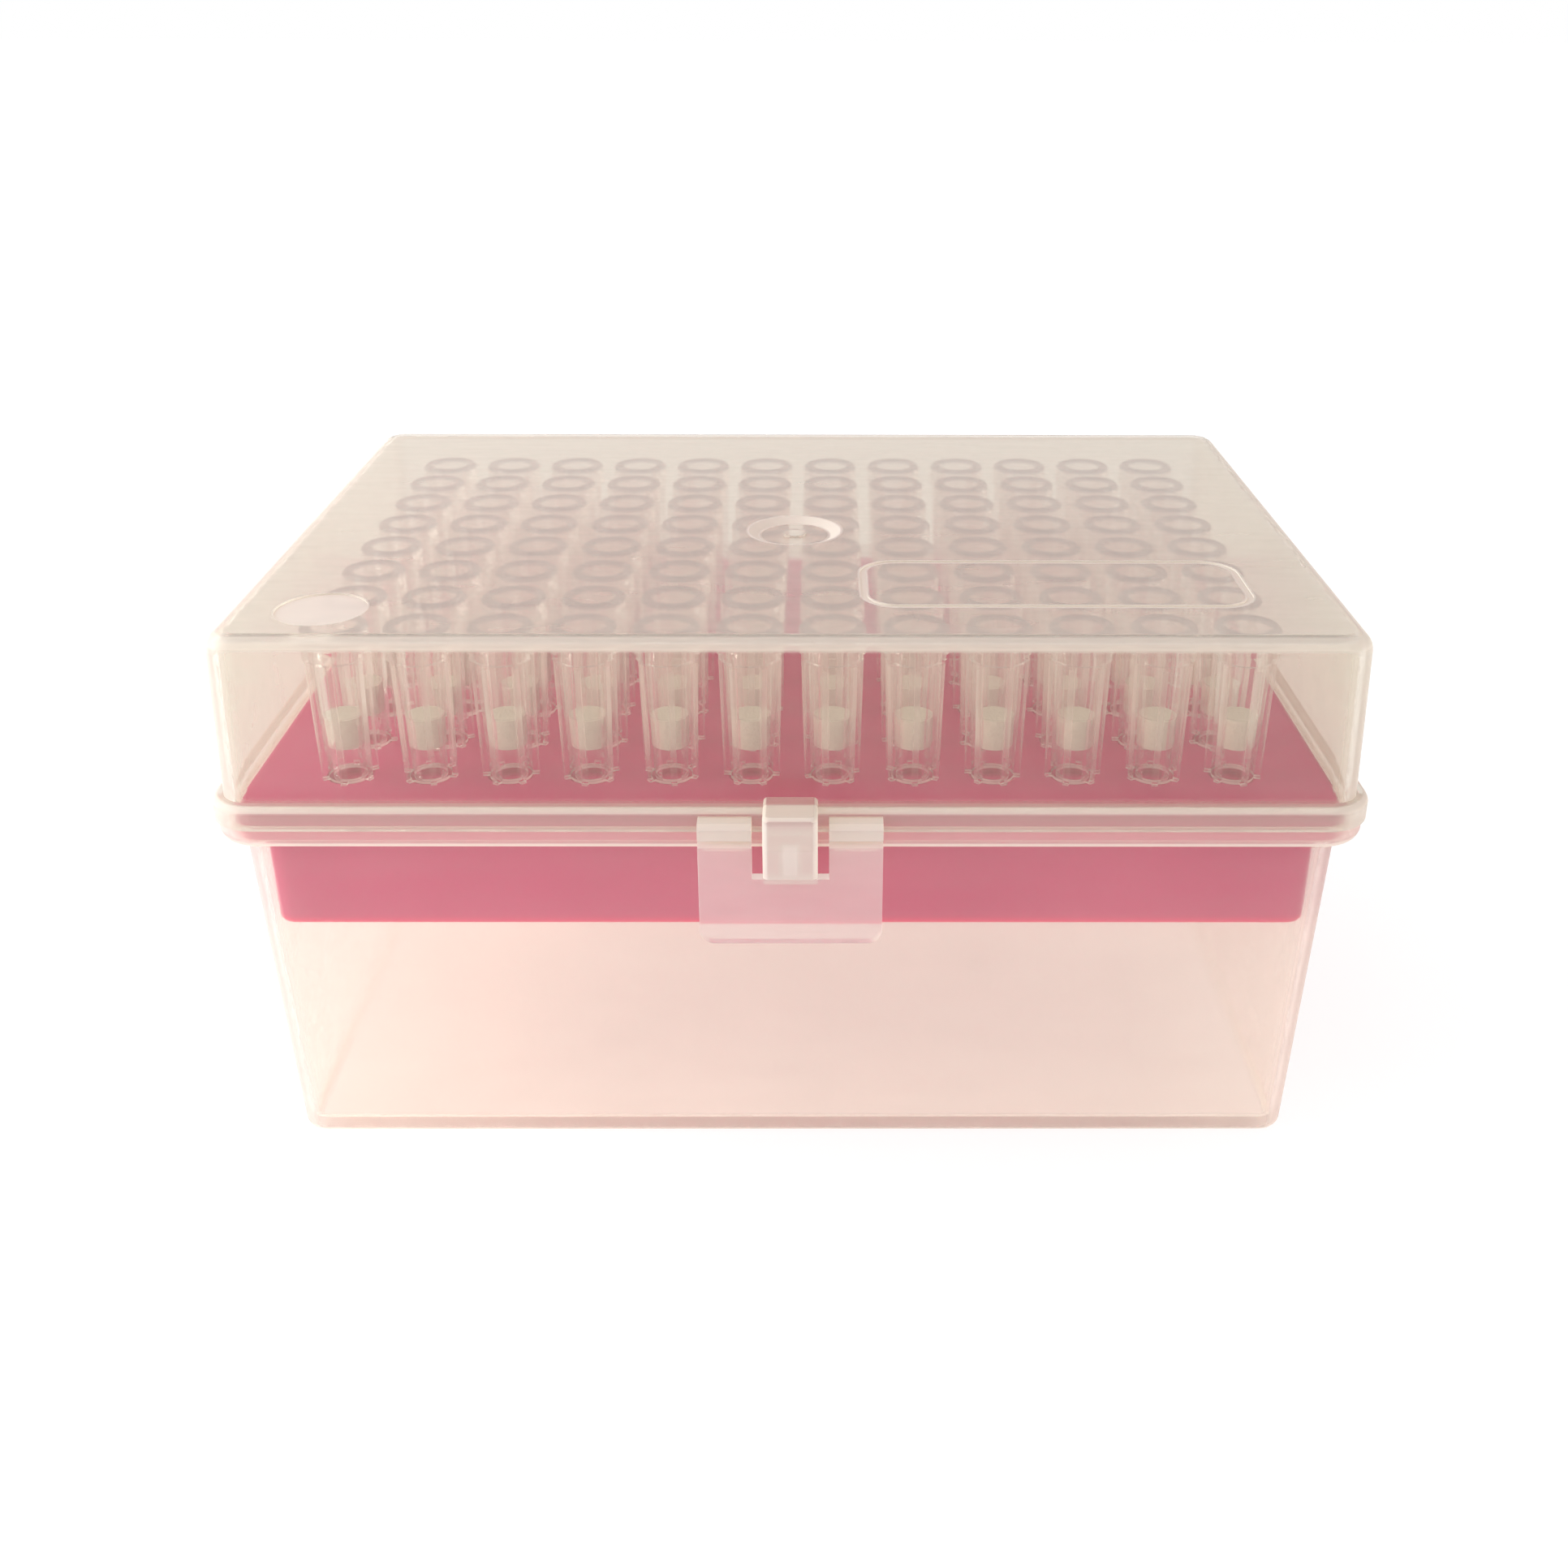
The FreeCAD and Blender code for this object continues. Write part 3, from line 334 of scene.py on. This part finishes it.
def make_floor():
    reach, drop = 3.0, 0.00005
    mesh = bpy.data.meshes.new("floor")
    corners = [(-reach, -reach), (reach, -reach), (reach, reach), (-reach, reach)]
    mesh.from_pydata([(x, y, -drop) for x, y in corners], [], [(0, 1, 2, 3)])
    floor = bpy.data.objects.new("floor", mesh)
    bpy.context.scene.collection.objects.link(floor)
    t = Tree(bpy.data.materials.new("paper"))
    fibre = t.noise(500.0, 3.0)
    seen = t.seen()
    sheet = t.blend(t.scale(fibre, 0.3, 0.7, 0.0, 1.0), (0.94, 0.94, 0.94, 1), (0.96, 0.96, 0.96, 1))
    matt = t.add("BsdfDiffuse", {"Color": t.blend(seen, sheet, (0.30, 0.30, 0.30, 1))})
    glow = t.math("ADD", t.math("MULTIPLY", seen, 0.77),
                  t.math("MULTIPLY", t.add("LightPath").outputs["Is Transmission Ray"], 0.05))
    glow = t.math("ADD", glow, t.math("MULTIPLY", t.math("SUBTRACT", 1.0, seen), 0.3))
    fill = t.add("Emission", {"Color": WHITE, "Strength": glow})
    mesh.materials.append(t.output(t.join(matt, fill)))


def make_world():
    world = bpy.data.worlds.new("studio")
    bpy.context.scene.world = world
    world.cycles.sampling_method = "NONE"
    t = Tree(world)
    along, back, up = t.split(t.add("TexCoord").outputs["Generated"])
    slant = t.math("ADD", t.math("MULTIPLY", along, -0.25), t.math("MULTIPLY", back, 0.12))
    gradient = t.math("ADD", t.math("ADD", slant, t.math("MULTIPLY", up, -0.42)), 1.24)
    seen = t.seen()
    level = t.math("ADD", t.math("MULTIPLY", gradient, t.math("SUBTRACT", 1.0, seen)), seen)
    t.output(t.add("Background", {"Color": WHITE, "Strength": level}), "OutputWorld")


def make_camera():
    data = bpy.data.cameras.new("camera")
    data.sensor_width = 36.0
    data.lens = 38.4335
    data.shift_x, data.shift_y = -0.02852, -0.04322
    data.clip_start = 0.01
    camera = bpy.data.objects.new("camera", data)
    pitch, yaw, roll = math.radians(-24.222), math.radians(-0.328), math.radians(-0.187)
    turn = Matrix.Rotation(yaw, 4, "Z") @ Matrix.Rotation(pitch, 4, "X") @ Matrix.Rotation(roll, 4, "Y")
    upright = Matrix.Rotation(math.pi / 2, 4, "X")
    camera.matrix_world = Matrix.Translation((0.00312, -0.20078, 0.12695)) @ turn @ upright
    bpy.context.scene.collection.objects.link(camera)
    bpy.context.scene.camera = camera


def make_window():
    """A soft light from the left, near enough to fall off towards the right."""
    data = bpy.data.lights.new("window", "AREA")
    data.shape = "SQUARE"
    data.size = 0.3
    data.energy = 1.45
    window = bpy.data.objects.new("window", data)
    window.location = (-0.35, -0.02, 0.22)
    aim = Vector((0.0, 0.0, 0.05)) - window.location
    window.rotation_euler = aim.to_track_quat("-Z", "Y").to_euler()
    bpy.context.scene.collection.objects.link(window)


make_floor()
make_world()
make_window()
make_camera()

scene = bpy.context.scene
scene.view_settings.view_transform = "Standard"
scene.cycles.max_bounces = 7
scene.cycles.diffuse_bounces = 2
scene.cycles.glossy_bounces = 3
scene.cycles.transparent_max_bounces = 64
